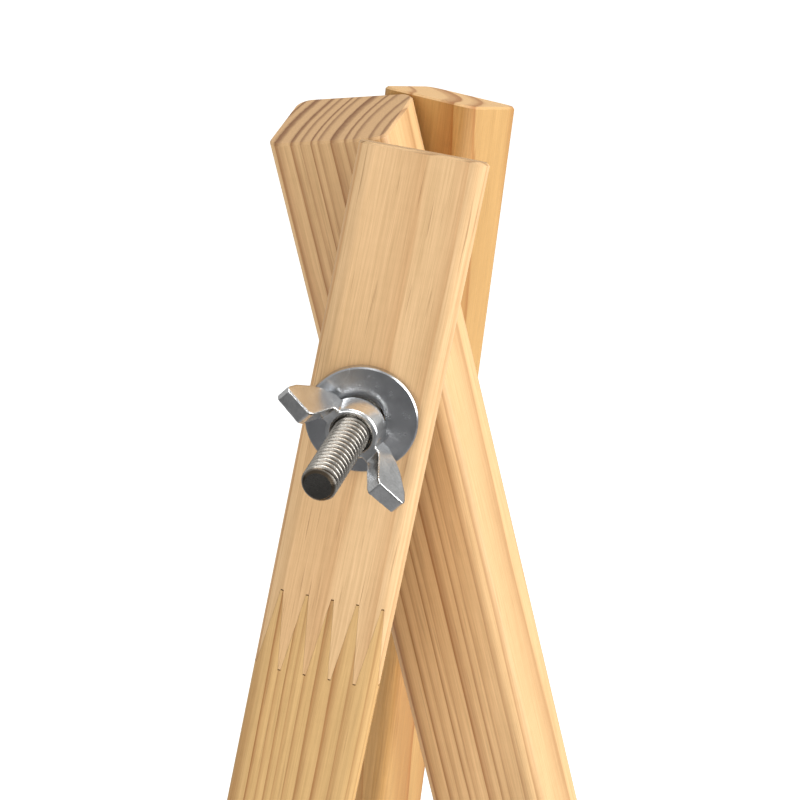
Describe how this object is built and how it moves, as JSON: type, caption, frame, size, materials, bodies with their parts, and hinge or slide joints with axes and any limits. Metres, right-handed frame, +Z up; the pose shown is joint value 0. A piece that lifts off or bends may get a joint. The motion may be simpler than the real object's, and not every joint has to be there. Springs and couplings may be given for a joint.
{
  "type": "wooden artist easel",
  "caption": "Tripod easel of slender finger-jointed pine legs crossed at the head on one carriage bolt, clamped by a wing nut and washer, with dowel pegs to rest a canvas on.",
  "frame": {"origin": "on the floor, under the middle of the bounding box", "axes": "+Z up; +X from the front leg's foot towards the middle leg's foot; -Y is the side a canvas leans on"},
  "size_m": [0.5921, 0.3239, 1.3982],
  "materials": {
    "pine_pale": "bare pine, sanded smooth, straight pale grain",
    "pine_striped": "bare pine with strong yellow-brown growth stripes",
    "pine_cream": "bare pale sapwood pine, wide growth rings",
    "pine_amber": "bare pine heartwood, orange-brown",
    "peg_wood": "turned dowel, close-grained pale hardwood, unvarnished",
    "zinc_steel": "zinc-plated steel, slightly dull, rolled thread",
    "bright_steel": "bright stamped steel, smooth reflective face"
  },
  "bodies": {
    "rear_frame": {"rear_leg_upper": "pine_amber", "rear_leg_middle": "pine_cream", "rear_leg_foot": "pine_striped", "carriage_bolt": "zinc_steel"},
    "middle_frame": {"middle_leg_upper": "pine_cream", "middle_leg_middle": "pine_pale", "middle_leg_foot": "pine_striped"},
    "front_frame": {"front_leg_head": "pine_pale", "front_leg_upper": "pine_striped", "front_leg_middle": "pine_pale", "front_leg_foot": "pine_amber"},
    "washer": {"washer": "bright_steel"},
    "wing_nut": {"wing_nut": "zinc_steel"},
    "front_peg": {"front_peg": "peg_wood"},
    "middle_peg": {"middle_peg": "peg_wood"}
  },
  "joints": [
    {"name": "middle_leg_swing", "type": "hinge", "parent": "rear_frame", "child": "middle_frame", "pos_m": [0.00483, 0.01057, 1.34883], "axis": [-0.3005, -0.953, 0.0384], "range_deg": [-2, 30]},
    {"name": "front_leg_swing", "type": "hinge", "parent": "rear_frame", "child": "front_frame", "pos_m": [-0.00167, -0.01004, 1.34966], "axis": [-0.3005, -0.953, 0.0384], "range_deg": [-30, 2]},
    {"name": "washer_slide", "type": "slide", "parent": "front_frame", "child": "washer", "axis": [-0.3005, -0.953, 0.0384], "range_m": [0, 0.0127]},
    {"name": "wing_nut_spin", "type": "hinge", "parent": "washer", "child": "wing_nut", "pos_m": [-0.0058, -0.02317, 1.35019], "axis": [-0.3005, -0.953, 0.0384], "range_deg": [0, 3600]},
    {"name": "front_peg_pull", "type": "slide", "parent": "front_frame", "child": "front_peg", "axis": [-0.0831, -0.9891, 0.1218], "range_m": [0, 0.015]},
    {"name": "middle_peg_pull", "type": "slide", "parent": "middle_frame", "child": "middle_peg", "axis": [-0.3566, -0.9339, 0.0246], "range_m": [0, 0.015]}
  ],
  "couplings": [
    {"joint": "wing_nut_spin", "follows": "washer_slide", "rad_per_m": 4947.4}
  ]
}
